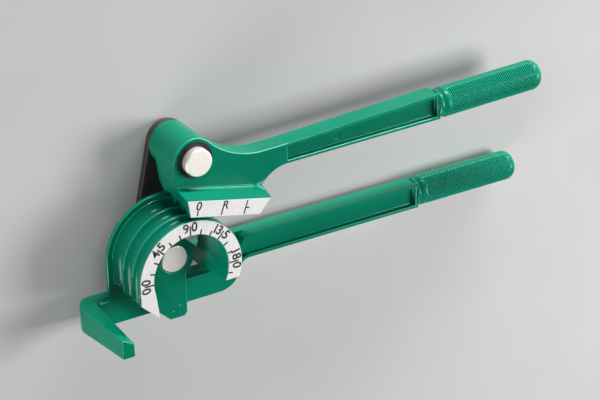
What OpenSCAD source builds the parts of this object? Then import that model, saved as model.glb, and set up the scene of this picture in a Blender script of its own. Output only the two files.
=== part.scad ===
// Hand tube bender with a three-groove die, lying on its back.
// X runs along the fixed handle, Y up the face of the die, Z along the pins and away from the bench.
// The origin is on the axis of the die pin, at the bench.

/* [Tubes] */
// Diameter of the small tube, in the front groove
tube_small = 6; // [5:0.25:6.5]
// Diameter of the middle tube
tube_mid = 8; // [7:0.25:8.5]
// Diameter of the large tube, in the back groove
tube_large = 10; // [9:0.25:10.5]

/* [Die] */
// Radius of the rims that stand between the grooves
die_r = 28.4; // [27.6:0.1:29]
// Thickness of the ridges between two grooves
ridge_t = 1.5; // [1.3:0.1:2]
// Low land between the large groove and the flange
groove_land = 0.3; // [0.2:0.05:0.5]
// Thickness of the front rim, which carries the angle scale
rim_t = 2.2; // [1.8:0.1:3]
// Radius of the hollow in the die
hollow_r = 20.6; // [19.8:0.1:21.2]
// Radius of the thin flange behind the grooves
flange_r = 31.2; // [30.4:0.1:31.4]
// Thickness of that flange
flange_t = 2.2; // [1.6:0.1:3]
// Length of the straight lead-in of the grooves, below the 0 mark
lead_l = 10; // [8:0.1:12]
// Slope of the cut below the lead-in, in degrees
lead_cut = 43.6; // [41:0.2:46]
// How far the limb beside the lead-in widens inwards
limb_widen = 2.6; // [1.5:0.1:3.2]
// How far the die reaches down past the 180 mark, at its front
ring_end = 9.6; // [8:0.1:11]
// Slope of that end towards the back, in degrees
ring_end_slope = 10.6; // [8:0.2:12]
// Right end of the slot between that end and the rail, from the pin axis
slot_right = 28; // [27:0.1:29]

/* [Pin post] */
// Radius of the bosses round both pins
boss_r = 11.3; // [11:0.1:11.6]
// How far the post's face lies behind the front of the die
post_setback = 18.2; // [16:0.1:19]
// Right edge of the post, from the pin axis
post_right = 6.3; // [5:0.1:7.5]
// Lower end of the post, below the pin axis
post_drop = 33.7; // [32:0.1:33.8]
// Chamfer on the post's lower right corner
post_chamfer = 2; // [1:0.1:3]
// Radius of the small ejector marks on both castings
mark_r = 2.3; // [1.5:0.1:3]
// Depth of the ejector marks
mark_t = 0.3; // [0.1:0.05:0.5]

/* [Rail and hook] */
// Depth of the rail, hook bar and fixed handle, front to back
base_d = 10.9; // [10:0.1:12]
// Underside of the rail, below the pin axis
rail_drop = 33.8; // [33.8:0.1:35]
// Height of the rail and hook bar
rail_h = 13.4; // [12.6:0.1:13.8]
// Where the rounded right end of the rail is centred
rail_end_x = 32.5; // [31:0.1:33]
// Radius of that rounded end
rail_end_r = 11.7; // [11:0.1:12.4]
// Fillet between the rail's end and the fixed handle
root_fillet = 5.2; // [4:0.1:6]
// Where the handle's front half begins, right of the notch beside the die
notch_x = 45.5; // [44.5:0.1:47]
// Depth of that notch, which lets the forming head swing past
notch_t = 5.7; // [5.2:0.1:6.4]
// Rounding of the handle's front half beside the notch
notch_round = 5.5; // [4:0.1:6]
// Left end of the hook, from the pin axis
hook_left = 46.2; // [45:0.1:48]
// Radius of the hook's outer corner
hook_corner = 10; // [8:0.1:10.5]
// Width of the hook's arm where it leaves the bar
hook_w = 8.2; // [7.5:0.1:9]
// Width of the hook's arm at its tip
hook_tip_w = 6.4; // [5.5:0.1:7]
// How far the arm leans towards the die along its length
hook_lean = 5; // [4:0.1:6.4]
// Width of the flat that the chamfer leaves on the hook's tip
hook_flat = 0.4; // [0.3:0.1:1]
// How far the tip stands past the front of the die
hook_proud = 4; // [2:0.1:5]
// How far the top of the arm falls towards its tip
hook_fall = 2.8; // [2:0.1:4]
// Slope of the chamfer on the inner edge of the tip, in degrees
hook_chamfer = 31; // [20:1:40]

/* [Handles] */
// Height of the fixed handle
fixed_h = 13.5; // [12.5:0.1:14]
// Top of the fixed handle, below the pin axis
fixed_top = 5.2; // [5:0.1:5.8]
// End of the fixed handle's flat part, from the pin axis
fixed_end = 156; // [130:1:170]
// Depth of the forming handle, front to back
form_d = 11.5; // [10:0.1:12.5]
// Height of the forming handle beside the head
form_h = 11; // [10:0.1:12]
// Height of the forming handle beside the grip
form_end_h = 14; // [12.5:0.1:14.5]
// End of the forming handle's flat part, from its pin
form_end = 146; // [120:1:160]
// How far the forming handle's axis lies below its pin
form_drop = 11.7; // [11.2:0.1:12.2]
// Tilt of the forming handle against the fixed handle, in degrees
form_tilt = 2; // [0:0.25:3]
// Depth of the pockets in the sides of the handles
pocket_t = 3; // [2:0.1:4]
// Height of the flanges along the pockets
pocket_rim = 1.6; // [1.2:0.1:2.2]
// Radius of the grips
grip_r = 8.2; // [7.5:0.1:8.5]
// Length of the grips
grip_l = 64; // [50:1:80]
// Gap between the two grips where the handles pass each other
grip_pass = 0.4; // [0.2:0.1:0.8]
// Radius of the neck in front of each grip
neck_r = 6.8; // [6:0.1:6.9]
// Length of that neck
neck_l = 2.5; // [2:0.1:5]
// Rounding at the start of the grips
grip_start_round = 1.6; // [1:0.1:2]
// Rounding at the end of the grips
grip_end_round = 4.5; // [3:0.1:5]

/* [Forming head] */
// How far the head's face lies behind the front of the die
head_setback = 14.5; // [13:0.1:15.5]
// Height of the shoe that rolls over the tube
shoe_h = 9; // [8.4:0.1:9.6]
// Length of the shoe to the right of the pin, at its sole
shoe_l = 33.3; // [31:0.1:35]
// Extra length of the shoe at its top, where its end slants
shoe_slant = 4.8; // [3:0.1:6]
// Extra length of the shoe at the head's face, behind its front
shoe_flare = 3.9; // [2:0.1:5]
// How far the shoe's front stands past the front of the die
shoe_proud = 0.5; // [0.2:0.1:1]
// How far the left end of the sole is cut back
sole_cut = 1; // [0.5:0.1:1.5]
// How far the shoe's left end reaches out at its front, past the head
shoe_reach = 2; // [1:0.1:2.6]
// Thickness of the rib on the head's left side
rib_t = 3; // [2:0.1:3.4]
// Gap between that rib and the floor of the notch
rib_gap = 0.5; // [0.4:0.1:1]
// Lower end of the rib, from the axis of the die
rib_low = 34.8; // [34.4:0.1:35.4]
// Slope of the facet on the rib's back edge, in degrees
rib_facet = 10; // [5:1:12]
// Fillet between the shoe's ledge and the head's face
shoe_fillet = 1.4; // [0.8:0.1:2]
// Radius of the hollow curve from the pin boss to the handle's top
top_curve_r = 42; // [36:1:50]
// Radius of the hollow curve from the shoe to the handle's underside
under_curve_r = 20.6; // [19:0.1:22]

/* [Link and pins] */
// Distance between the two pins
link_l = 53.8; // [53.4:0.1:54.4]
// Thickness of the link plate
link_t = 4.2; // [3:0.1:5]
// Radius of the link plate's round ends
link_r = 10.9; // [9:0.05:11]
// Lean of the link away from upright, in degrees
link_lean = 12.5; // [8:0.5:20]
// Radius of the pins
pin_r = 4.5; // [4:0.1:5]
// Radius of the pins' flat heads
pin_head_r = 7.2; // [6.6:0.1:7.6]
// Thickness of the pins' heads
pin_head_t = 4.1; // [3:0.1:5]
// Chamfer round the pins' heads
pin_chamfer = 0.4; // [0.2:0.1:0.8]
// Radius of the riveted tails in the link
tail_r = 3.7; // [3.2:0.1:3.9]
// How much wider the countersunk rivet is at the bench
tail_flare = 1.6; // [1:0.1:2]
// Radius of the washer under the handle pin's head
washer_r = 9.4; // [8.5:0.1:10]
// Thickness of both washers
washer_t = 0.6; // [0.4:0.1:1]

/* [Scales] */
// Thickness of the two scale labels
label_t = 0.25; // [0.15:0.05:0.4]
// Bare rim left round the labels
label_margin = 0.35; // [0.2:0.05:0.6]

/* [Clearances] */
// Room on the radius for a tube in its groove
tube_fit = 0.05; // [0:0.01:0.1]
// Radial running clearance of the pins
run_gap = 0.05; // [0.02:0.01:0.1]
// Radial clearance of the rivet tails in the link
rivet_gap = 0.02; // [0.01:0.01:0.05]
// Gap between the flat faces that slide past each other
face_gap = 0.3; // [0.2:0.05:0.5]
// Gap under the washers
washer_gap = 0.1; // [0.05:0.05:0.2]
// Gap between the shoe's sole and the rims of the die
shoe_gap = 1.4; // [1.2:0.1:1.6]
// Gap round the die pin's head in its counterbore
bore_gap = 0.35; // [0.2:0.05:0.5]

/* [Hidden] */
$fn = 96;

// A cutter reaches this far past the faces that it opens
over = 1;
// Solids that are joined sink this far into each other
sink = 0.5;
// A cutter of this size is larger than the whole tool
huge = 120;
// The ring is drawn this many degrees past its 180 mark, and cut there
ring_over = 60;
// The lead-in is this much slimmer than the ring that it runs into
lead_trim = 0.06;

paint_green = [0.0, 0.50, 0.34];
pin_silver = [0.86, 0.83, 0.79];
link_grey = [0.25, 0.25, 0.26];
washer_black = [0.06, 0.06, 0.06];
label_white = [0.93, 0.92, 0.90];

// Levels along the pins, from the bench upwards
back_z = link_t + face_gap;
base_z = back_z + base_d;
large_r = tube_large/2 + tube_fit;
mid_r = tube_mid/2 + tube_fit;
small_r = tube_small/2 + tube_fit;
large_z = base_z + groove_land + large_r;
mid_z = large_z + large_r + ridge_t + mid_r;
small_z = mid_z + mid_r + ridge_t + small_r;
front_z = small_z + small_r + rim_t;
post_z = front_z - post_setback;
head_z = front_z - head_setback;
form_z = head_z - form_d;
shoe_z = base_z + face_gap;
shoe_top = front_z + shoe_proud;
notch_z = base_z - notch_t;
rib_z = notch_z + rib_gap;
// The grips lie on both sides of the plane between the handles, clear of each other
pass_z = (back_z + base_d/2 + form_z + form_d/2)/2;
fixed_grip_z = pass_z - grip_r - grip_pass/2;
form_grip_z = pass_z + grip_r + grip_pass/2;
die_head_z = post_z + face_gap*2 - pin_head_t;
form_head_z = head_z + washer_gap + washer_t;

// The grooves, each with its level and radius
grooves = [[large_z, large_r], [mid_z, mid_r], [small_z, small_r]];
// The tube's own axis runs midway between the rims and the shoe
bend_r = die_r + shoe_gap/2;

// Places in the plane of the die
rail_top = rail_h - rail_drop;
rail_end_y = rail_end_r - rail_drop;
fixed_bottom = -fixed_top - fixed_h;
fixed_y = -fixed_top - fixed_h/2;
cut_slope = tan(lead_cut);
// The slot under the die's end reaches a little into that end
slot_top = sink - ring_end - (front_z - base_z)*tan(ring_end_slope);
// The slanted cut reaches the post's lower end here
cut_x = -die_r + (post_drop - lead_l)/cut_slope;
// The limb's tip, where the slanted cut meets its inner edge
tip_x = limb_widen - hollow_r;
tip_y = -lead_l - (die_r + tip_x)*cut_slope;
hook_tip_z = front_z + hook_proud;
hook_reach = hook_tip_z - base_z;
pin_at = [link_l*sin(link_lean), link_l*cos(link_lean)];

// Places in the plane of the forming handle, from its pin
shoe_turn = link_lean + form_tilt;
sole_d = link_l - die_r - shoe_gap;
ledge_d = sole_d - shoe_h;
form_top = form_h/2 - form_drop;
form_bottom = -form_h/2 - form_drop;
top_curve_x = sqrt(pow(top_curve_r + boss_r, 2) - pow(top_curve_r + form_top, 2));
top_curve_at = [top_curve_x, form_top + top_curve_r];
boss_tangent = top_curve_at*boss_r/(top_curve_r + boss_r);
ledge_l = shoe_l + shoe_slant;
ledge_end = shoe_point(ledge_l + shoe_flare - sink, ledge_d);
under_rise = form_bottom - ledge_end.y;
under_curve_x = ledge_end.x + sqrt(pow(under_curve_r, 2) - pow(under_curve_r - under_rise, 2));
under_curve_at = [under_curve_x, form_bottom - under_curve_r];
form_start = max(top_curve_x, under_curve_x);
rib_d = link_l - rib_low;
// Slope of the shoe's right end, seen from the front and in depth
end_lean = atan(shoe_slant/shoe_h);
end_slope = atan(shoe_flare*cos(end_lean)/(shoe_top - head_z));
// Slope of the shoe's left end against the lines across the sole
left_lean = atan((left_along(sole_d) + sole_cut - left_along(ledge_d))/shoe_h);
// The rib's facet starts at the boss and reaches the sole at the handle's back
facet_slope = atan((form_z - rib_z)/rib_d);

// A point of the shoe, from its length along the sole and its distance from the pin
function shoe_point(along, away) = [along*cos(shoe_turn) - away*sin(shoe_turn),
                                    -along*sin(shoe_turn) - away*cos(shoe_turn)];
// Where the flat left face of the head crosses a line along the sole
function left_along(away) = (away*sin(shoe_turn) - boss_r)/cos(shoe_turn);
function left_point(away) = shoe_point(left_along(away), away);

// The forming handle's own plane, with its pin at the origin
module form_plane() {
    translate([pin_at.x, pin_at.y, 0]) rotate([0, 0, form_tilt]) children();
}

// The link's own plane, with Y from the die pin to the handle pin
module link_plane() {
    rotate([0, 0, -link_lean]) children();
}

// A slab of a flat outline between two levels
module slab(low, high) {
    translate([0, 0, low]) linear_extrude(high - low) children();
}

// A rectangle between two corners
module rect(low, high) {
    translate(low) square(high - low);
}

// Neck and round grip, along X from the end of a handle
module grip() {
    shoulder = neck_l;
    end = neck_l + grip_l;
    rotate([90, 0, 90]) rotate_extrude() {
        rect([0, -sink], [neck_r, shoulder + sink]);
        rect([0, shoulder], [grip_r - grip_start_round, end - grip_end_round]);
        rect([0, shoulder + grip_start_round], [grip_r, end - grip_end_round]);
        rect([0, end - grip_end_round - sink], [grip_r - grip_end_round, end]);
        translate([grip_r - grip_start_round, shoulder + grip_start_round]) circle(grip_start_round);
        intersection() {
            translate([grip_r - grip_end_round, end - grip_end_round]) circle(grip_end_round);
            rect([0, shoulder], [grip_r, end]);
        }
    }
}

// Cross-section of the ring with its grooves, as radius and level
module ring_section(inner, trim, top) {
    difference() {
        rect([inner, base_z - sink], [die_r - trim, top]);
        for (g = grooves) translate([bend_r, g[0]]) circle(g[1] + trim);
    }
}

// Ring with the slanted end past its 180 mark, straight lead-in and the limb beside it
module ring() {
    difference() {
        rotate([0, 0, -ring_over]) rotate_extrude(angle = 180 + ring_over)
            ring_section(hollow_r - sink, 0, front_z + over);
        translate([0, -ring_end, front_z]) rotate([-ring_end_slope, 0, 0])
            translate([0, -huge, -huge]) cube([huge, huge, huge*2]);
    }
    translate([0, sink, 0]) rotate([90, 0, 0]) mirror([1, 0, 0])
        linear_extrude(sink - tip_y) ring_section(hollow_r + sink, lead_trim, front_z + over*2);
    slab(base_z - sink, front_z + over*3)
        polygon([[-hollow_r - over, sink], [-hollow_r, sink], [tip_x, tip_y], [-hollow_r - over, tip_y]]);
}

// Everything in front of the die's front face
module front_cutter() {
    slab(front_z, huge) square(huge, center = true);
}

// Post that carries the die pin inside the hollow
module post() {
    slab(base_z - sink, post_z)
        polygon([[-hollow_r - sink, -post_drop], [post_right - post_chamfer, -post_drop],
                 [post_right, post_chamfer - post_drop], [post_right, -boss_r/2],
                 [-hollow_r - sink, -boss_r/2]]);
    translate([0, 0, back_z]) cylinder(r = boss_r, h = post_z - back_z);
}

// Everything below the slanted cut, in front of the rail
module lead_cutter() {
    translate([-die_r, -lead_l, base_z]) rotate([0, 0, -lead_cut])
        translate([-huge/2, -huge, 0]) cube([huge*2, huge, huge]);
}

// Outline of the rail, hook bar and fixed handle, seen from the front
module base_outline() {
    rect([-hook_left + hook_corner, -rail_drop], [rail_end_x, rail_top]);
    rect([-boss_r, -rail_drop], [post_right, 0]);
    rect([post_right, rail_end_y], [rail_end_x + rail_end_r, -fixed_top]);
    rect([rail_end_x, fixed_bottom], [fixed_end, -fixed_top]);
    translate([rail_end_x, rail_end_y]) circle(rail_end_r);
    difference() {
        corner = [rail_end_x + rail_end_r + root_fillet, fixed_bottom - root_fillet];
        rect([rail_end_x, corner.y], [corner.x, -fixed_top]);
        translate(corner) circle(root_fillet);
    }
}

// Flange behind the grooves, with its straight left side
module flange_outline() {
    circle(flange_r);
    rect([-flange_r, rail_top - sink], [0, 0]);
}

// Opening through the back of the die, right of the post, with its slot under the die's end
module hollow_outline() {
    difference() {
        union() {
            circle(hollow_r);
            rect([post_right, rail_top], [hollow_r - sink, -boss_r/3]);
            rect([post_right, rail_top], [slot_right, slot_top]);
        }
        circle(boss_r - sink);
        rect([-hollow_r, -rail_drop], [post_right, -boss_r/2]);
    }
}

// Bar and arm of the hook that holds the tube, seen from above
module hook_outline() {
    tip_x0 = -hook_left + hook_lean;
    polygon([[-hook_left, back_z + hook_corner], [-hook_left, base_z], [tip_x0, hook_tip_z],
             [tip_x0 + hook_tip_w, hook_tip_z], [-hook_left + hook_w, base_z],
             [-hook_left + hook_corner + sink, base_z], [-hook_left + hook_corner + sink, back_z],
             [-hook_left + hook_corner, back_z]]);
    intersection() {
        translate([-hook_left + hook_corner, back_z + hook_corner]) circle(hook_corner);
        rect([-hook_left, back_z], [-hook_left + hook_corner, back_z + hook_corner]);
    }
}

// Hook with its falling top and chamfered tip
module hook() {
    fall = atan(hook_fall/hook_reach);
    lean = atan((hook_lean + hook_flat - hook_w)/hook_reach);
    difference() {
        translate([0, rail_top, 0]) rotate([90, 0, 0]) linear_extrude(rail_h) hook_outline();
        translate([0, rail_top, base_z]) rotate([fall, 0, 0])
            translate([-huge, 0, 0]) cube([huge*2, huge, huge]);
        translate([-hook_left + hook_w, rail_top, base_z])
            rotate([fall, 0, 0]) rotate([0, lean, 0]) rotate([0, 0, -hook_chamfer])
            translate([0, 0, -huge]) cube([huge, huge, huge*2]);
    }
}

// Pocket in the side of the fixed handle, which follows the fillet down at its start
module fixed_pocket() {
    low = fixed_bottom + pocket_rim;
    corner = [rail_end_x + rail_end_r + root_fillet, fixed_bottom - root_fillet];
    start = notch_x + notch_round;
    rect([start, low], [fixed_end - pocket_rim, -fixed_top - pocket_rim]);
    rect([notch_x - over, low], [start + sink, -fixed_top - notch_round]);
    translate([start, -fixed_top - notch_round]) circle(notch_round - pocket_rim);
    difference() {
        rect([notch_x - over, corner.y], [corner.x, low + sink]);
        translate(corner) circle(root_fillet + pocket_rim);
    }
}

// Notch beside the die, with the rounded corner of the handle's front half
module notch_outline() {
    difference() {
        rect([0, rail_top], [notch_x, over]);
        circle(flange_r - sink);
    }
    difference() {
        rect([notch_x - sink, -fixed_top - notch_round], [notch_x + notch_round, over]);
        translate([notch_x + notch_round, -fixed_top - notch_round]) circle(notch_round);
    }
}

// Lower casting: die, post, rail, hook and fixed handle
module die_body() {
    color(paint_green) difference() {
        union() {
            difference() {
                union() {
                    difference() {
                        slab(back_z, base_z) base_outline();
                        slab(notch_z, base_z + over) notch_outline();
                    }
                    slab(base_z - flange_t, base_z) flange_outline();
                    ring();
                }
                slab(back_z - over, huge) hollow_outline();
                lead_cutter();
                front_cutter();
            }
            difference() {
                post();
                lead_cutter();
            }
            hook();
            translate([fixed_end, fixed_y, fixed_grip_z]) grip();
        }
        translate([0, 0, back_z - over]) cylinder(r = pin_r + run_gap, h = huge);
        translate([0, 0, die_head_z - washer_t - washer_gap]) cylinder(r = pin_head_r + bore_gap, h = huge);
        slab(base_z - pocket_t, base_z + over) fixed_pocket();
        slab(back_z - over, back_z + pocket_t) fixed_pocket();
        translate([0, mark_r*2.5 - post_drop, post_z - mark_t]) cylinder(r = mark_r, h = huge);
    }
}

// Outline of the head and handle between the two hollow curves
module form_outline() {
    circle(boss_r);
    difference() {
        polygon([[-boss_r, 0], left_point(ledge_d + shoe_h/2), shoe_point(ledge_l, ledge_d + shoe_h/2),
                 [under_curve_x, form_bottom], [form_start, form_bottom],
                 [form_end, -form_end_h/2 - form_drop],
                 [form_end, form_end_h/2 - form_drop], [form_start, form_top], [top_curve_x, form_top],
                 boss_tangent, [0, 0]]);
        translate(top_curve_at) circle(top_curve_r);
        translate(under_curve_at) circle(under_curve_r);
    }
}

// Thick part of the head, from the pin boss down to the shoe
module head_outline() {
    circle(boss_r);
    polygon([[-boss_r, 0], left_point(ledge_d + shoe_h/2), shoe_point(shoe_l, ledge_d + shoe_h/2),
             [boss_r, 0], [0, 0]]);
}

// Everything left of the shoe, whose left end reaches out in front of the head's face
module shoe_left_cutter() {
    corner = left_point(ledge_d);
    translate([corner.x, corner.y, 0]) rotate([0, 0, left_lean - shoe_turn])
        translate([0, huge/2, 0]) rotate([90, 0, 0]) linear_extrude(huge)
            polygon([[0, shoe_z - over], [0, head_z - over],
                     [-shoe_reach, shoe_top], [-shoe_reach, shoe_top + over],
                     [-huge, shoe_top + over], [-huge, shoe_z - over]]);
}

// The shoe, with its cut-back left end and its right end that slants two ways
module shoe() {
    short = left_along(ledge_d) - shoe_reach*2;
    long = ledge_l + shoe_flare*2;
    difference() {
        slab(shoe_z, shoe_top)
            polygon([shoe_point(short, sole_d), shoe_point(long, sole_d),
                     shoe_point(long, ledge_d), shoe_point(short, ledge_d)]);
        shoe_left_cutter();
        translate(concat(shoe_point(shoe_l, sole_d), shoe_top)) rotate([0, 0, -shoe_turn - end_lean])
            rotate([0, -end_slope, 0]) translate([0, -huge/2, -huge]) cube([huge, huge, huge*2]);
    }
}

// Rib on the head's left side, with the facet along its back edge
module rib() {
    difference() {
        slab(rib_z, head_z)
            polygon([[-boss_r, 0], left_point(rib_d), left_point(rib_d) + [rib_t, 0], [rib_t - boss_r, 0]]);
        translate([-boss_r, 0, rib_z]) rotate([180 - facet_slope, 0, 0]) rotate([0, rib_facet, 0])
            translate([-huge, 0, 0]) cube([huge, huge, huge]);
    }
}

// Pocket in the side of the forming handle
module form_pocket() {
    polygon([[form_start, form_bottom + pocket_rim],
             [form_end - pocket_rim, pocket_rim - form_end_h/2 - form_drop],
             [form_end - pocket_rim, form_end_h/2 - form_drop - pocket_rim],
             [form_start, form_top - pocket_rim]]);
}

// Small hollow fillet along the ledge
module ledge_fillet() {
    corner = left_point(ledge_d);
    length = norm(ledge_end - corner) - shoe_slant - sink;
    translate([corner.x, corner.y, head_z]) rotate([0, 0, -shoe_turn]) translate([sink, 0, 0]) difference() {
        translate([0, -sink, -sink]) cube([length, shoe_fillet + sink, shoe_fillet + sink]);
        translate([-over, shoe_fillet, shoe_fillet]) rotate([0, 90, 0])
            cylinder(r = shoe_fillet, h = length + over*2);
    }
}

// Upper casting: head with the three-groove shoe, and the forming handle
module forming_handle() {
    mark_x = form_start + (form_end - form_start)/3;
    color(paint_green) difference() {
        form_plane() difference() {
            union() {
                slab(form_z, head_z) form_outline();
                slab(shoe_z, form_z + sink) head_outline();
                shoe();
                rib();
                ledge_fillet();
                translate([0, 0, back_z]) cylinder(r = boss_r, h = head_z - back_z);
                translate([form_end, -form_drop, form_grip_z]) grip();
            }
            translate([0, 0, back_z - over]) cylinder(r = pin_r + run_gap, h = huge);
            slab(head_z - pocket_t, head_z + over) form_pocket();
            slab(form_z - over, form_z + pocket_t) form_pocket();
            translate([mark_x, -form_drop, head_z - pocket_t - mark_t]) cylinder(r = mark_r, h = pocket_t);
        }
        link_plane() for (g = grooves)
            translate([-huge/2, bend_r, g[0]]) rotate([0, 90, 0]) cylinder(r = g[1], h = huge);
    }
}

// Hole and countersink for a rivet tail in the link
module tail_hole() {
    translate([0, 0, -over]) cylinder(r = tail_r + rivet_gap, h = link_t + over*2);
    cylinder(r1 = tail_r + tail_flare + rivet_gap, r2 = tail_r + rivet_gap, h = tail_flare);
}

// Steel link plate behind both castings
module link_plate() {
    color(link_grey) link_plane() difference() {
        union() {
            cylinder(r = link_r, h = link_t);
            translate([0, link_l, 0]) cylinder(r = link_r, h = link_t);
            translate([-link_r, 0, 0]) cube([link_r*2, link_l, link_t]);
        }
        tail_hole();
        translate([0, link_l, 0]) tail_hole();
    }
}

// Pin with a flat chamfered head on top and a countersunk rivet in the link
module pin(head_at) {
    top = head_at + pin_head_t;
    color(pin_silver) {
        cylinder(r1 = tail_r + tail_flare, r2 = tail_r, h = tail_flare);
        cylinder(r = tail_r, h = link_t + sink);
        translate([0, 0, link_t]) cylinder(r = pin_r, h = head_at - link_t + sink);
        translate([0, 0, head_at]) cylinder(r = pin_head_r, h = pin_head_t - pin_chamfer);
        translate([0, 0, top - pin_chamfer])
            cylinder(r1 = pin_head_r, r2 = pin_head_r - pin_chamfer, h = pin_chamfer);
    }
}

// Pin of the die
module die_pin() {
    pin(die_head_z);
}

// Pin of the forming handle
module handle_pin() {
    translate([pin_at.x, pin_at.y, 0]) pin(form_head_z);
}

// Flat washer under a pin's head
module washer(radius, under) {
    color(washer_black) translate([0, 0, under - washer_t]) difference() {
        cylinder(r = radius, h = washer_t);
        translate([0, 0, -over]) cylinder(r = pin_r + run_gap, h = washer_t + over*2);
    }
}

// Washer in the die's counterbore
module die_pin_washer() {
    washer(pin_head_r, die_head_z);
}

// Washer on the face of the forming head
module handle_pin_washer() {
    translate([pin_at.x, pin_at.y, 0]) washer(washer_r, form_head_z);
}

// White angle scale on the front of the die
module angle_scale() {
    outer = die_r - label_margin;
    inner = hollow_r + label_margin;
    foot = lead_l + label_margin/cos(lead_cut);
    color(label_white) slab(front_z, front_z + label_t) difference() {
        union() {
            circle(outer);
            rect([-outer, -rail_drop], [tip_x - label_margin, 0]);
        }
        circle(inner);
        polygon([[-inner, 0], [tip_x - label_margin, tip_y], [tip_x - label_margin, -huge], [huge, -huge],
                 [huge, label_margin - ring_end], [0, label_margin - ring_end], [0, 0]]);
        translate([-die_r, label_margin*2 - foot]) rotate(-lead_cut) rect([-huge, -huge], [huge, 0]);
    }
}

// White index scale on the front of the shoe
module shoe_scale() {
    m = label_margin;
    color(label_white) form_plane() slab(shoe_top, shoe_top + label_t)
        polygon([left_point(sole_d - m) + shoe_point(sole_cut + m - shoe_reach, 0),
                 shoe_point(shoe_l - m, sole_d - m),
                 shoe_point(ledge_l - m*2, ledge_d + m),
                 left_point(ledge_d + m) + shoe_point(m - shoe_reach, 0)]);
}

die_body();
forming_handle();
link_plate();
die_pin();
handle_pin();
die_pin_washer();
handle_pin_washer();
angle_scale();
shoe_scale();
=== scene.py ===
import math

import bmesh
import bpy
from mathutils import Matrix, Vector, kdtree


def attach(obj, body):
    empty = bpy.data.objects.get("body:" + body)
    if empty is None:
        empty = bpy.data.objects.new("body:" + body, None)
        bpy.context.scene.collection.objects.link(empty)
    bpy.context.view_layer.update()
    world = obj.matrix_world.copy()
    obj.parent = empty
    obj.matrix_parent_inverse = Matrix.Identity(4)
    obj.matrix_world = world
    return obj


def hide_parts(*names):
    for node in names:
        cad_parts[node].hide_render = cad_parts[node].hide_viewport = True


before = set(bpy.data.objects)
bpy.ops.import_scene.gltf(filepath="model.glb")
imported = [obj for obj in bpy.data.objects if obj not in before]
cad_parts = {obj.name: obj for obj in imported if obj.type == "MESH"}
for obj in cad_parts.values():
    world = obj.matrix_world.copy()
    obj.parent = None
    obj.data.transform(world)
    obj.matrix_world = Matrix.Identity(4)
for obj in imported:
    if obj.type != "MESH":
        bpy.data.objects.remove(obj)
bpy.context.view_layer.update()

# Lower casting: die with its three grooves, pin post, rail, hook and fixed handle, all one zinc
# casting. Its edges leave the mould slightly round, and the green enamel is baked on over them.

MM = 0.001

# Slow and fine changes of tone that a sprayed or stamped surface shows, as one value
tone = bpy.data.node_groups.new("surface_tone", "ShaderNodeTree")
for socket, usual in (("Scale", 40.0), ("Detail", 3.0), ("Low", 0.0), ("High", 1.0)):
    entry = tone.interface.new_socket(socket, in_out="INPUT", socket_type="NodeSocketFloat")
    entry.default_value = usual
tone.interface.new_socket("Value", in_out="OUTPUT", socket_type="NodeSocketFloat")
tone_in = tone.nodes.new("NodeGroupInput")
tone_out = tone.nodes.new("NodeGroupOutput")
tone_place = tone.nodes.new("ShaderNodeTexCoord")
tone_noise = tone.nodes.new("ShaderNodeTexNoise")
tone_span = tone.nodes.new("ShaderNodeMapRange")
tone_span.inputs["From Min"].default_value = 0.3
tone_span.inputs["From Max"].default_value = 0.7
tone.links.new(tone_place.outputs["Object"], tone_noise.inputs["Vector"])
tone.links.new(tone_in.outputs["Scale"], tone_noise.inputs["Scale"])
tone.links.new(tone_in.outputs["Detail"], tone_noise.inputs["Detail"])
tone.links.new(tone_noise.outputs["Fac"], tone_span.inputs["Value"])
tone.links.new(tone_in.outputs["Low"], tone_span.inputs["To Min"])
tone.links.new(tone_in.outputs["High"], tone_span.inputs["To Max"])
tone.links.new(tone_span.outputs["Result"], tone_out.inputs["Value"])


def add_tone(material, scale, detail, low=0.0, high=1.0):
    node = material.node_tree.nodes.new("ShaderNodeGroup")
    node.node_tree = tone
    for socket, value in (("Scale", scale), ("Detail", detail), ("Low", low), ("High", high)):
        node.inputs[socket].default_value = value
    return node.outputs["Value"]


def add_bump(material, height, strength, distance):
    bump = material.node_tree.nodes.new("ShaderNodeBump")
    bump.inputs["Strength"].default_value = strength
    bump.inputs["Distance"].default_value = distance
    material.node_tree.links.new(height, bump.inputs["Height"])
    return bump.outputs["Normal"]


def new_finish(name, tones, blotch, rough=None, grain=None, fixed=()):
    """A surface of two tones in blotches, with its spread of roughness and its fine grain.

    blotch is a scale and a detail, rough adds the lowest and highest roughness to these, and
    grain the strength and the height of the bump. fixed holds what is the same all over.
    """
    material = bpy.data.materials.new(name)
    material.use_nodes = True
    link = material.node_tree.links.new
    shader = material.node_tree.nodes["Principled BSDF"].inputs
    mix = material.node_tree.nodes.new("ShaderNodeMix")
    mix.data_type = "RGBA"
    for socket, colour in zip(("A", "B"), tones):
        mix.inputs[socket].default_value = (*colour, 1.0)
    link(add_tone(material, *blotch), mix.inputs["Factor"])
    link(mix.outputs["Result"], shader["Base Color"])
    if rough:
        link(add_tone(material, *rough), shader["Roughness"])
    if grain:
        scale, detail, strength, height = grain
        link(add_bump(material, add_tone(material, scale, detail), strength, height),
             shader["Normal"])
    for socket, value in fixed:
        shader[socket].default_value = value
    return material


# The rounded edges get a lighter green, a painted highlight, and a stronger specular reflection
enamel_surface = {"blotch": (26.0, 3.0), "rough": (180.0, 4.0, 0.17, 0.24),
                  "grain": (620.0, 2.0, 0.12, 0.06 * MM)}
green_enamel = new_finish("green_enamel", ((0.0003, 0.166, 0.096), (0.0005, 0.19, 0.111)),
                          fixed=(("Specular IOR Level", 0.16),), **enamel_surface)
edge_highlight_enamel = new_finish("edge_highlight_enamel", ((0.004, 0.27, 0.17), (0.007, 0.31, 0.2)),
                         fixed=(("Specular IOR Level", 0.5),), **enamel_surface)

SHARP_FOLD = math.radians(28)
NARROW_CORNER = math.radians(100)
SAMPLE_STEP, FEWEST_STEPS = 0.5 * MM, 4
LEAST_ROOM = 0.25 * MM
ROOM_SHARE = 0.42
MOST_EDGES_AT_CORNER = 3


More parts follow.
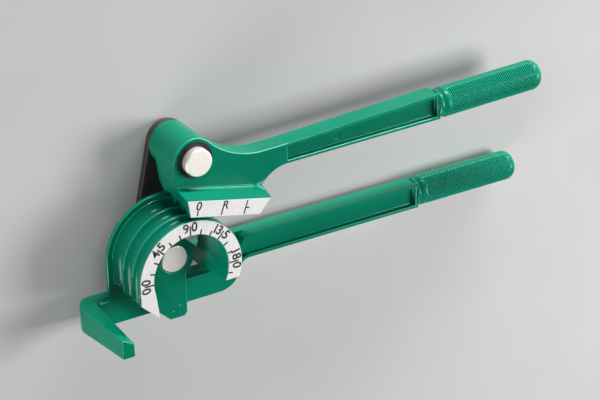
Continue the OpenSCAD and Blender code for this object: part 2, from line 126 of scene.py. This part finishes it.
def inside(box, edge):
    middle = (edge.verts[0].co + edge.verts[1].co) / 2 / MM
    return all(low < c < high for low, c, high in zip(box[0], middle, box[1]))


def room_beside(sharp, width):
    """How far the next sharp edge lies from each one, measured across it."""
    far, reach, sideways = 10.0 * width, 3.0 * width, 0.6
    samples = []
    for edge in sharp:
        a, b = edge.verts[0].co, edge.verts[1].co
        steps = max(FEWEST_STEPS, int((b - a).length / SAMPLE_STEP))
        samples += [(a.lerp(b, i / steps), edge) for i in range(steps + 1)]
    tree = kdtree.KDTree(len(samples))
    for i, (co, edge) in enumerate(samples):
        tree.insert(co, i)
    tree.balance()
    room = {edge: far for edge in sharp}
    for co, edge in samples:
        along = (edge.verts[1].co - edge.verts[0].co).normalized()
        for near, i, gap in tree.find_range(co, reach):
            other = samples[i][1]
            if other is edge or set(other.verts) & set(edge.verts):
                continue
            if abs((near - co).dot(along)) < sideways * gap:
                room[edge] = min(room[edge], gap)
    return room


def round_edges(bm, width, plain):
    """Gives each sharp edge its rounding, less where the next edge or a corner leaves little room.

    Edges with too little room, and those in the plain boxes, which are in mm, stay sharp.
    """
    layer = bm.edges.layers.float.new("bevel_weight_edge")
    sharp = [e for e in bm.edges if e.is_manifold and e.calc_face_angle(0.0) > SHARP_FOLD]
    room = room_beside(sharp, width)
    crowded = set()
    for vert in {v for edge in sharp for v in edge.verts}:
        meeting = [e for e in vert.link_edges if e in room]
        if len(meeting) > MOST_EDGES_AT_CORNER:
            crowded.add(vert)
        for i, first in enumerate(meeting):
            for second in meeting[:i]:
                arms = [e.other_vert(vert).co - vert.co for e in (first, second)]
                corner = arms[0].angle(arms[1])
                if corner < NARROW_CORNER:
                    limit = min(arm.length for arm in arms) * math.tan(corner / 2)
                    room[first] = min(room[first], limit)
                    room[second] = min(room[second], limit)
    crowded |= {v for edge in sharp if room[edge] < LEAST_ROOM for v in edge.verts}
    for edge in sharp:
        if crowded & set(edge.verts) or any(inside(box, edge) for box in plain):
            edge.smooth = False
        else:
            edge[layer] = min(1.0, ROOM_SHARE * room[edge] / width)


def new_piece(name, bm, paints):
    mesh = bpy.data.meshes.new(name)
    bm.to_mesh(mesh)
    bm.free()
    for paint in paints:
        mesh.materials.append(paint)
    piece = bpy.data.objects.new(name, mesh)
    bpy.context.scene.collection.objects.link(piece)
    return piece


WELD = 0.002 * MM
ON_PLANE = 0.0001 * MM
FLAT_FOLD = math.radians(0.4)
RING_LEFT, RING_LOW = -15 * MM, 13 * MM


def rounded_copy(node, name, width, paints, cut=None, levels=(), plain=()):
    """A merged copy of a CAD node with rounded edges, which take the last of its paints.

    What lies past the plane in cut is taken off. The left side of the die's ring is parted at
    the levels, where its round meets the straight lead-in, so that the rounding stays even there.
    """
    bm = bmesh.new()
    bm.from_mesh(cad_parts[node].data)
    bmesh.ops.remove_doubles(bm, verts=bm.verts, dist=WELD)
    if cut:
        bmesh.ops.bisect_plane(bm, geom=bm.verts[:] + bm.edges[:] + bm.faces[:], dist=ON_PLANE,
                               plane_co=cut[0], plane_no=cut[1], clear_outer=True)
        bmesh.ops.holes_fill(bm, edges=[e for e in bm.edges if e.is_boundary], sides=0)
    bmesh.ops.dissolve_limit(bm, angle_limit=FLAT_FOLD, verts=bm.verts, edges=bm.edges,
                             use_dissolve_boundaries=False)
    for level in levels:
        middles = [(f, f.calc_center_median()) for f in bm.faces]
        ring = [f for f, middle in middles if middle.x < RING_LEFT and middle.z > RING_LOW]
        parts = {v for f in ring for v in f.verts} | {e for f in ring for e in f.edges} | set(ring)
        bmesh.ops.bisect_plane(bm, geom=list(parts), dist=ON_PLANE,
                               plane_co=(0, level, 0), plane_no=(0, 1, 0))
    bmesh.ops.recalc_face_normals(bm, faces=bm.faces)
    round_edges(bm, width, plain)
    for face in bm.faces:
        face.smooth = True
    piece = new_piece(name, bm, paints)
    rounding = piece.modifiers.new("rounded_edges", "BEVEL")
    rounding.width = width
    rounding.segments = 3
    rounding.profile = 0.5
    rounding.limit_method = "WEIGHT"
    rounding.use_clamp_overlap = False
    rounding.material = len(paints) - 1
    flat = piece.modifiers.new("flat_faces", "WEIGHTED_NORMAL")
    flat.weight = 100
    flat.keep_sharp = True
    return piece


CASTING_ROUND = 0.5 * MM
GRIP_JOIN = Vector((-0.2 * MM, 0, 0))
RING_END = ((12, -22, 4), (30, -7, 46))
HANDLE_NOTCH = ((43, -32, 3), (58, -3, 17))
HOOK_CORNER = ((-48, -24, 3), (-37, -17, 20))
base_grip_at = Matrix.Translation(Vector((158.5, -11.95, 9.05)) * MM)
# The casting's rounded edges take the edge enamel's lighter green, a painted highlight
die_casting = rounded_copy("die_body", "die_casting", CASTING_ROUND, (green_enamel, edge_highlight_enamel),
                           levels=(-0.15 * MM, 0.15 * MM),
                           plain=(RING_END, HANDLE_NOTCH, HOOK_CORNER),
                           cut=(base_grip_at @ GRIP_JOIN, (1, 0, 0)))
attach(die_casting, "base")
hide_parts("die_body")

# Grips: the round ends of both castings, with a diamond knurl cut into the mould. The knurl runs
# out at the parting lines, where the two mould halves meet. Its small pits are painted darker as
# painted shade, and its crests lighter as a painted highlight.

GRIP_R = 8.2
TIP_ROUND = 4.5
KNURL_START, KNURL_END = 2.0, 59.5
KNURL_ROWS, KNURL_COLUMNS = 62, 80
RUN_OUT_ROWS = 2.0
PARTING_POWER, PARTING_GAIN = 24, 1.3
DEEPEST_SHADE = 0.4 * MM

grip_enamel_painted_shade_and_highlight = green_enamel.copy()
grip_enamel_painted_shade_and_highlight.name = "grip_enamel_painted_shade_and_highlight"
grip_tree = grip_enamel_painted_shade_and_highlight.node_tree


def add_math(operation, *values):
    node = grip_tree.nodes.new("ShaderNodeMath")
    node.operation = operation
    for socket, value in zip(node.inputs, values):
        if isinstance(value, float):
            socket.default_value = value
        else:
            grip_tree.links.new(value, socket)
    return node.outputs["Value"]


def add_uv(layer):
    place = grip_tree.nodes.new("ShaderNodeUVMap")
    place.uv_map = layer
    parts = grip_tree.nodes.new("ShaderNodeSeparateXYZ")
    grip_tree.links.new(place.outputs["UV"], parts.inputs["Vector"])
    return parts.outputs["X"], parts.outputs["Y"]


forth, back = add_uv("lattice")
from_ridge = add_math("MINIMUM", add_math("PINGPONG", forth, 0.5), add_math("PINGPONG", back, 0.5))
knurl_cut = add_uv("depth")[0]
# Painted shade: a darker green in the knurl's pits. Painted highlight: a lighter green on its
# crests. Both fade out where the cut runs out.
pit_shade_share = add_math("SMOOTH_MIN", add_math("MULTIPLY", from_ridge, 2.6), 1.0, 0.2)
off_crest = add_math("MINIMUM", add_math("MULTIPLY", from_ridge, 6.0), 1.0)
pit_painted_shade = add_math("MULTIPLY", pit_shade_share, knurl_cut)
crest_painted_highlight = add_math("MULTIPLY", add_math("SUBTRACT", 1.0, off_crest), knurl_cut)
grip_paint = grip_tree.nodes["Principled BSDF"].inputs["Base Color"]
for mask, paint in ((pit_painted_shade, (0.0002, 0.045, 0.027, 1.0)), (crest_painted_highlight, (0.012, 0.36, 0.23, 1.0))):
    shaded = grip_tree.nodes.new("ShaderNodeMix")
    shaded.data_type = "RGBA"
    grip_tree.links.new(grip_paint.links[0].from_socket, shaded.inputs["A"])
    shaded.inputs["B"].default_value = paint
    grip_tree.links.new(mask, shaded.inputs["Factor"])
    grip_tree.links.new(shaded.outputs["Result"], grip_paint)

# Both ends of the grip as its length and radius in mm: the neck at the handle, and the round tip
shoulder = [(1.3, 8.2), (0.7, 8.1), (0.2, 7.85), (-0.3, 7.5), (-0.8, 7.25), (-1.3, 7.15),
            (-1.8, 7.2), (-2.3, 7.35), (-2.7, 7.6), (-2.7, 6.0)]
tip = [(KNURL_END + TIP_ROUND * math.sin(a), GRIP_R - TIP_ROUND + TIP_ROUND * math.cos(a))
       for a in [math.pi * k / 16 for k in range(1, 9)]] + [(64.0, 1.6)]


def knurled_grip(name, place, depth):
    bm = bmesh.new()
    lattice = bm.loops.layers.uv.new("lattice")
    fade = bm.loops.layers.uv.new("depth")
    bmesh.ops.create_grid(bm, x_segments=KNURL_ROWS, y_segments=KNURL_COLUMNS, size=0.5)
    ridge = []
    for v in bm.verts:
        row = round((v.co.x + 0.5) * KNURL_ROWS)
        column = round((v.co.y + 0.5) * KNURL_COLUMNS)
        turn = 2.0 * math.pi * column / KNURL_COLUMNS
        parting = (1.0 - abs(math.sin(turn)) ** PARTING_POWER) * PARTING_GAIN
        ends = min(row, KNURL_ROWS - row) / RUN_OUT_ROWS
        share = min(1.0, max(0.0, parting)) * min(1.0, ends)
        for loop in v.link_loops:
            loop[lattice].uv = ((row + column) / 2, (row - column) / 2)
            loop[fade].uv = (share * min(1.0, depth / DEEPEST_SHADE), 0.0)
        r = GRIP_R * MM
        if (row + column) % 2:
            r -= depth * share
        else:
            ridge.append(v)
        x = (KNURL_START + (KNURL_END - KNURL_START) * row / KNURL_ROWS) * MM
        v.co = (x, r * math.sin(turn), r * math.cos(turn))
    bmesh.ops.connect_verts(bm, verts=ridge)
    bmesh.ops.remove_doubles(bm, verts=bm.verts, dist=0.01 * MM)
    facets = set(bm.faces)
    for profile, side in ((shoulder, min), (tip, max)):
        end_x = side(v.co.x for v in bm.verts)
        rim = [e for e in bm.edges
               if e.is_boundary and all(abs(v.co.x - end_x) < ON_PLANE for v in e.verts)]
        for x, r in profile:
            grown = bmesh.ops.extrude_edge_only(bm, edges=rim)["geom"]
            for v in [g for g in grown if isinstance(g, bmesh.types.BMVert)]:
                size = math.hypot(v.co.y, v.co.z)
                v.co = (x * MM, v.co.y * r * MM / size, v.co.z * r * MM / size)
            rim = [g for g in grown if isinstance(g, bmesh.types.BMEdge)]
        bmesh.ops.holes_fill(bm, edges=rim, sides=0)
    bmesh.ops.recalc_face_normals(bm, faces=bm.faces)
    bmesh.ops.transform(bm, matrix=place, verts=bm.verts)
    for face in bm.faces:
        face.smooth = face not in facets
    for edge in bm.edges:
        if len({f in facets for f in edge.link_faces}) > 1:
            edge.smooth = False
    piece = new_piece(name, bm, (grip_enamel_painted_shade_and_highlight,))
    return piece


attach(knurled_grip("fixed_grip", base_grip_at, 0.32 * MM), "base")

# Upper casting: pin boss, shoe and forming handle in one zinc casting with the same enamel.
# It turns on the handle pin, and its shoe presses the tube round the die.

PIN_AT = Vector((11.6443, 52.5247, 0.0)) * MM
HANDLE_TILT = math.radians(2.0)
SHOE_ROOT = ((-20, 20, 10), (12, 37, 45))
lever_plane = Matrix.Translation(PIN_AT) @ Matrix.Rotation(HANDLE_TILT, 4, "Z")
lever_grip_at = lever_plane @ Matrix.Translation(Vector((148.5, -11.7, 25.85)) * MM)
lever_along = lever_plane.to_3x3() @ Vector((1, 0, 0))
# The lever's rounded edges take the edge enamel's lighter green, a painted highlight
lever_casting = rounded_copy("forming_handle", "lever_casting", CASTING_ROUND,
                             (green_enamel, edge_highlight_enamel), plain=(SHOE_ROOT,),
                             cut=(lever_grip_at @ GRIP_JOIN, lever_along))
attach(lever_casting, "lever")
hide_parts("forming_handle")
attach(knurled_grip("forming_grip", lever_grip_at, 0.42 * MM), "lever")

# Link: a bar of blackened steel plate, cut with round ends, behind both castings.
# The tails of both pins are riveted into it.

LINK_ROUND = 0.35 * MM
link_black = new_finish("link_black", ((0.045, 0.044, 0.044), (0.085, 0.082, 0.08)),
                        blotch=(90.0, 5.0), rough=(420.0, 4.0, 0.42, 0.6),
                        grain=(900.0, 4.0, 0.25, 0.04 * MM), fixed=(("Metallic", 0.55),))
link_bar = rounded_copy("link_plate", "link_bar", LINK_ROUND, (link_black,))
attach(link_bar, "link")
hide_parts("link_plate")

# Pins: turned from steel and zinc plated, each with a flat chamfered head in front and a
# countersunk rivet behind. Fine rings from the lathe tool are left on the heads.

PIN_ROUND = 0.2 * MM
RING_STRENGTH, RING_HEIGHT = 0.08, 0.04 * MM


def plated_steel(name, centre):
    material = new_finish(name, ((0.86, 0.8, 0.73), (0.92, 0.87, 0.81)), blotch=(1600.0, 4.0),
                          rough=(1100.0, 3.0, 0.46, 0.56), fixed=(("Metallic", 0.85),))
    tree = material.node_tree
    place = tree.nodes.new("ShaderNodeTexCoord")
    shift = tree.nodes.new("ShaderNodeMapping")
    shift.inputs["Location"].default_value = (-centre.x, -centre.y, 0.0)
    rings = tree.nodes.new("ShaderNodeTexWave")
    rings.wave_type = "RINGS"
    rings.rings_direction = "Z"
    for socket, value in (("Scale", 900.0), ("Distortion", 1.5), ("Detail", 2.0)):
        rings.inputs[socket].default_value = value
    tree.links.new(place.outputs["Object"], shift.inputs["Vector"])
    tree.links.new(shift.outputs["Vector"], rings.inputs["Vector"])
    tree.links.new(add_bump(material, rings.outputs["Fac"], RING_STRENGTH, RING_HEIGHT),
                   tree.nodes["Principled BSDF"].inputs["Normal"])
    return material


for node, centre in (("die_pin", Vector((0, 0, 0))), ("handle_pin", PIN_AT)):
    plating = plated_steel(node + "_plating", centre)
    turned = rounded_copy(node, node + "_turned", PIN_ROUND, (plating,))
    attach(turned, "link")
    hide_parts(node)

# Washers: thin rings stamped from steel and blackened. They lie under the pin heads and are
# free to turn.

washer_black = new_finish("washer_black", ((0.005, 0.004, 0.004), (0.012, 0.01, 0.009)),
                          blotch=(300.0, 4.0), rough=(500.0, 3.0, 0.38, 0.55),
                          fixed=(("Metallic", 0.3),))


def repaint(node, paint):
    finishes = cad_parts[node].data.materials
    finishes.clear()
    finishes.append(paint)


for node in ("die_pin_washer", "handle_pin_washer"):
    repaint(node, washer_black)

# Scales: white film glued on the front of the die and of the shoe, printed in one dark ink.
# The die's has a mark each 15 degrees, and its numbers stand on both sides of the long marks.

label_film = new_finish("label_film", ((0.66, 0.635, 0.63), (0.74, 0.72, 0.715)),
                        blotch=(800.0, 4.0), rough=(260.0, 3.0, 0.42, 0.55),
                        grain=(1500.0, 3.0, 0.15, 0.03 * MM))
label_ink = new_finish("label_ink", ((0.003, 0.006, 0.005), (0.012, 0.02, 0.017)),
                       blotch=(900.0, 4.0), rough=(500.0, 2.0, 0.4, 0.55))
for node in ("angle_scale", "shoe_scale"):
    repaint(node, label_film)

INK_T = 0.02 * MM
INK_SINK = 0.2 * INK_T


def add_text(bm, words, size, place, shear=0.0, bold=0.0):
    curve = bpy.data.curves.new("figure", "FONT")
    curve.body = words
    curve.size = size
    curve.align_x = "CENTER"
    curve.align_y = "CENTER"
    curve.shear = shear
    curve.offset = bold
    curve.resolution_u = 6
    figure = bpy.data.objects.new("figure", curve)
    bpy.context.scene.collection.objects.link(figure)
    bpy.context.view_layer.update()
    drawn = figure.evaluated_get(bpy.context.evaluated_depsgraph_get())
    mesh = bpy.data.meshes.new_from_object(drawn)
    mesh.transform(place)
    bm.from_mesh(mesh)
    bpy.data.objects.remove(figure)
    bpy.data.curves.remove(curve)
    bpy.data.meshes.remove(mesh)


def add_bar(bm, width, low, high, place):
    made = bmesh.ops.create_grid(bm, x_segments=1, y_segments=1, size=0.5)["verts"]
    bmesh.ops.scale(bm, vec=(width, high - low, 1.0), verts=made)
    bmesh.ops.translate(bm, vec=(0, (low + high) / 2, -INK_SINK), verts=made)
    bmesh.ops.transform(bm, matrix=place, verts=made)


def ink_piece(name, bm, body):
    grown = bmesh.ops.extrude_face_region(bm, geom=bm.faces[:])["geom"]
    raised = [g for g in grown if isinstance(g, bmesh.types.BMVert)]
    bmesh.ops.translate(bm, vec=(0, 0, INK_T), verts=raised)
    bmesh.ops.recalc_face_normals(bm, faces=bm.faces)
    piece = new_piece(name, bm, (label_ink,))
    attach(piece, body)


ANGLE_Z = 45.45 * MM
SCALE_IN, FIGURE_R = 20.95 * MM, 25.0 * MM
LONG_MARK, SHORT_MARK = 26.0 * MM, 23.5 * MM
MARK_W = 0.8 * MM
FIGURE_SIZE, FIGURE_BOLD = 6.8 * MM, 0.16 * MM


def at_angle(degrees, radius=0.0):
    """A place on the die's scale, with its own Y pointing outwards."""
    turn = Matrix.Rotation(math.radians(90.0 - degrees), 4, "Z")
    return Matrix.Translation((0, 0, ANGLE_Z)) @ turn @ Matrix.Translation((0, radius, 0))


angle_ink = bmesh.new()
for degrees in range(0, 196, 15):
    mark_end = LONG_MARK if degrees % 45 == 0 else SHORT_MARK
    add_bar(angle_ink, MARK_W, SCALE_IN, mark_end, at_angle(degrees))
for figure, degrees in (("0", -5.4), ("0", 5.2), ("4", 39.8), ("5", 50.4), ("9", 84.7), ("0", 95.2),
                        ("1", 123.8), ("3", 129.6), ("5", 140.4),
                        ("1", 167.2), ("8", 174.4), ("0", 185.4)):
    add_text(angle_ink, figure, FIGURE_SIZE, at_angle(degrees, FIGURE_R), bold=FIGURE_BOLD)
ink_piece("angle_figures", angle_ink, "base")

SHOE_Z = 45.95 * MM
SOLE_D = 24.0 * MM
SHOE_TURN = math.radians(-14.5)
INDEX_W, INDEX_LOW = 0.72 * MM, 0.9 * MM
LETTER_BOLD = 0.12 * MM
lean = Matrix.Rotation(math.radians(-8.0), 4, "Z")


def on_shoe(along, above):
    """A place on the shoe's scale in mm, by its length along the sole and its height over it."""
    place = Matrix.Translation((along * MM, above * MM - SOLE_D, 0))
    turn = Matrix.Rotation(SHOE_TURN, 4, "Z")
    return lever_plane @ Matrix.Translation((0, 0, SHOE_Z)) @ turn @ place


shoe_ink = bmesh.new()
add_text(shoe_ink, "0", 6.3 * MM, on_shoe(-2.9, 5.9), shear=0.08, bold=LETTER_BOLD)
add_bar(shoe_ink, INDEX_W, INDEX_LOW, 3.6 * MM, on_shoe(-2.9, 0))
add_text(shoe_ink, "R", 5.9 * MM, on_shoe(11.9, 6.0), shear=0.14, bold=LETTER_BOLD)
add_bar(shoe_ink, INDEX_W, INDEX_LOW, 6.0 * MM, on_shoe(10.35, 0) @ lean)
add_bar(shoe_ink, INDEX_W, INDEX_LOW, 8.1 * MM, on_shoe(23.3, 0) @ lean)
add_bar(shoe_ink, 2.2 * MM, 3.9 * MM, 4.6 * MM, on_shoe(24.9, 0))
ink_piece("shoe_marks", shoe_ink, "lever")

# Studio: a plain pale table under the tool, which lies on its back. A wide soft lamp stands low
# beyond its upper side, one stands to its left and a small one above its right, in an even room.

TABLE_R = 5.0
TABLE_DROP = 0.2 * MM
table_top = new_finish("table_top", ((0.46, 0.46, 0.455), (0.49, 0.49, 0.485)), blotch=(8.0, 2.0),
                       fixed=(("Roughness", 0.9), ("Specular IOR Level", 0.1)))
ground = bmesh.new()
bmesh.ops.create_circle(ground, cap_ends=True, radius=TABLE_R, segments=96)
bmesh.ops.translate(ground, vec=(0.1, 0, -TABLE_DROP), verts=ground.verts)
table = new_piece("table", ground, (table_top,))


def softbox(name, place, aim, size, watts):
    data = bpy.data.lights.new(name, "AREA")
    data.shape = "RECTANGLE"
    data.size, data.size_y = size
    data.energy = watts
    lamp = bpy.data.objects.new(name, data)
    lamp.location = place
    lamp.rotation_euler = (Vector(aim) - Vector(place)).to_track_quat("-Z", "Y").to_euler()
    bpy.context.scene.collection.objects.link(lamp)


softbox("upper_softbox", place=(0.95, 2.05, 0.27), aim=(0.06, 0.0, 0.02), size=(2.0, 0.4),
        watts=100.0)
softbox("left_softbox", place=(-1.0, -0.96, 0.3), aim=(-0.02, 0.0, 0.02), size=(1.3, 0.5),
        watts=26.0)
softbox("front_softbox", place=(0.9, 0.06, 0.86), aim=(0.03, 0.0, 0.03), size=(0.5, 0.5),
        watts=13.5)

room = bpy.data.worlds.new("room")
bpy.context.scene.world = room
room.use_nodes = True
room_tree = room.node_tree
room_place = room_tree.nodes.new("ShaderNodeTexCoord")
room_parts = room_tree.nodes.new("ShaderNodeSeparateXYZ")
room_ramp = room_tree.nodes.new("ShaderNodeValToRGB")
walls, ceiling = room_ramp.color_ramp.elements
walls.position, walls.color = 0.1, (0.24, 0.24, 0.24, 1)
ceiling.position, ceiling.color = 0.6, (0.17, 0.175, 0.18, 1)
room_tree.links.new(room_place.outputs["Generated"], room_parts.inputs["Vector"])
room_tree.links.new(room_parts.outputs["Z"], room_ramp.inputs["Fac"])
room_tree.links.new(room_ramp.outputs["Color"], room_tree.nodes["Background"].inputs["Color"])

bpy.context.scene.view_settings.view_transform = "Standard"

# Camera: a long lens over the lying tool, turned so that the tool stands in the frame
# as a user would hold it up.

CAMERA_AT = (-0.3668, 0.4309, 0.7457)
LENS, SENSOR = 110.46, 36.0
forward = Vector((0.468, -0.4446, -0.764)).normalized()
level = Vector((0.8526, 0.0, 0.5225))
level = (level - forward * level.dot(forward)).normalized()
upright = level.cross(forward)
roll = math.radians(-0.64)
frame_right = level * math.cos(roll) + upright * math.sin(roll)
frame_up = upright * math.cos(roll) - level * math.sin(roll)
lens = bpy.data.cameras.new("camera")
lens.sensor_width = SENSOR
lens.lens = LENS
lens.clip_start = 0.01
lens.clip_end = 50.0
camera = bpy.data.objects.new("camera", lens)
facing = Matrix((frame_right, frame_up, -forward)).transposed().to_4x4()
camera.matrix_world = Matrix.Translation(CAMERA_AT) @ facing
bpy.context.scene.collection.objects.link(camera)
bpy.context.scene.camera = camera
